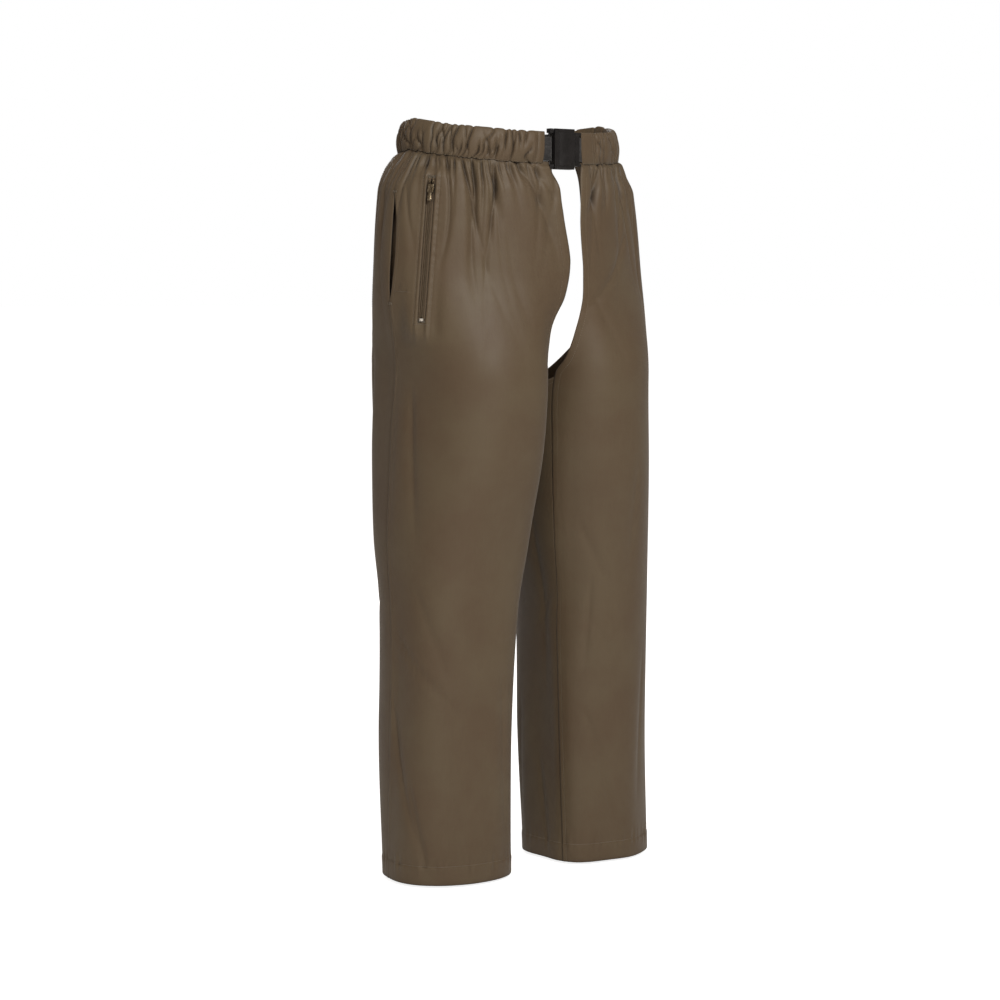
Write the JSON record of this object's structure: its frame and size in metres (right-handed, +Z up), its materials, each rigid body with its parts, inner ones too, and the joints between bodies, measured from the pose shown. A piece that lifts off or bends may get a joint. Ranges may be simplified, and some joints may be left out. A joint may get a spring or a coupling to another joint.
{
  "type": "chainsaw chaps",
  "caption": "Seatless two-leg chainsaw chaps with a gathered elastic waistband, side-release webbing buckle, zipped thigh pocket and layered leg protection.",
  "frame": {"origin": "centre of the waist, level with the waistband's upper edge at the wearer's sides", "axes": "+Z up along the wearer, -Y the way the wearer faces, +X the wearer's left"},
  "size_m": [0.416, 0.2798, 1.0304],
  "materials": {
    "shell_cloth": "woven, slight sheen",
    "lining_cloth": "woven, matt",
    "pad_fibre": "knitted, matt",
    "elastic": "ribbed, matt",
    "webbing": "woven, matt",
    "black_plastic": "satin",
    "zip_tape": "woven, matt",
    "zip_coil": "satin",
    "zip_metal": "worn"
  },
  "bodies": {
    "right_half": {"right_front_panel": "shell_cloth", "right_back_panel": "shell_cloth", "right_waist_casing": "shell_cloth", "right_slit_facing": "shell_cloth", "right_pad_ply_1": "pad_fibre", "right_pad_ply_2": "pad_fibre", "right_pad_ply_3": "pad_fibre", "right_lining": "lining_cloth", "pocket_bag": "lining_cloth", "right_waist_elastic": "elastic", "back_waist_elastic": "elastic", "right_buckle_webbing": "webbing", "buckle_socket": "black_plastic", "zip_tape_front": "zip_tape", "zip_tape_rear": "zip_tape", "zip_chain": "zip_coil", "zip_top_stop_front": "zip_metal", "zip_top_stop_rear": "zip_metal", "zip_bottom_stop": "zip_metal"},
    "left_half": {"left_front_panel": "shell_cloth", "left_back_panel": "shell_cloth", "left_pad_ply_1": "pad_fibre", "left_pad_ply_2": "pad_fibre", "left_pad_ply_3": "pad_fibre", "left_lining": "lining_cloth", "left_slit_facing": "shell_cloth", "left_waist_casing": "shell_cloth", "left_waist_elastic": "elastic", "left_buckle_webbing": "webbing", "buckle_plug": "black_plastic"},
    "prong_upper": {"buckle_prong_upper": "black_plastic"},
    "prong_lower": {"buckle_prong_lower": "black_plastic"},
    "slider": {"zip_slider": "zip_metal"},
    "pull": {"zip_pull": "zip_metal"}
  },
  "joints": [
    {"name": "buckle_release", "type": "slide", "parent": "right_half", "child": "left_half", "axis": [1, 0, 0], "range_m": [0, 0.034], "deforming": ["back_waist_elastic"]},
    {"name": "prong_upper_squeeze", "type": "hinge", "parent": "left_half", "child": "prong_upper", "pos_m": [0.0195, -0.113, -0.0279], "axis": [0, -1, 0], "range_deg": [0, 6], "stiffness_Nm_per_rad": 0.4},
    {"name": "prong_lower_squeeze", "type": "hinge", "parent": "left_half", "child": "prong_lower", "pos_m": [0.0195, -0.113, -0.0609], "axis": [0, 1, 0], "range_deg": [0, 6], "stiffness_Nm_per_rad": 0.4},
    {"name": "zip_slide", "type": "slide", "parent": "right_half", "child": "slider", "axis": [-0.1064, -0.0219, -0.9941], "range_m": [0, 0.165]},
    {"name": "zip_pull_swing", "type": "hinge", "parent": "slider", "child": "pull", "pos_m": [-0.17532, -0.0592, -0.09661], "axis": [-0.6556, 0.7532, 0.0535], "range_deg": [0, 150]}
  ],
  "couplings": [
    {"joint": "prong_lower_squeeze", "follows": "prong_upper_squeeze", "ratio": 1}
  ]
}
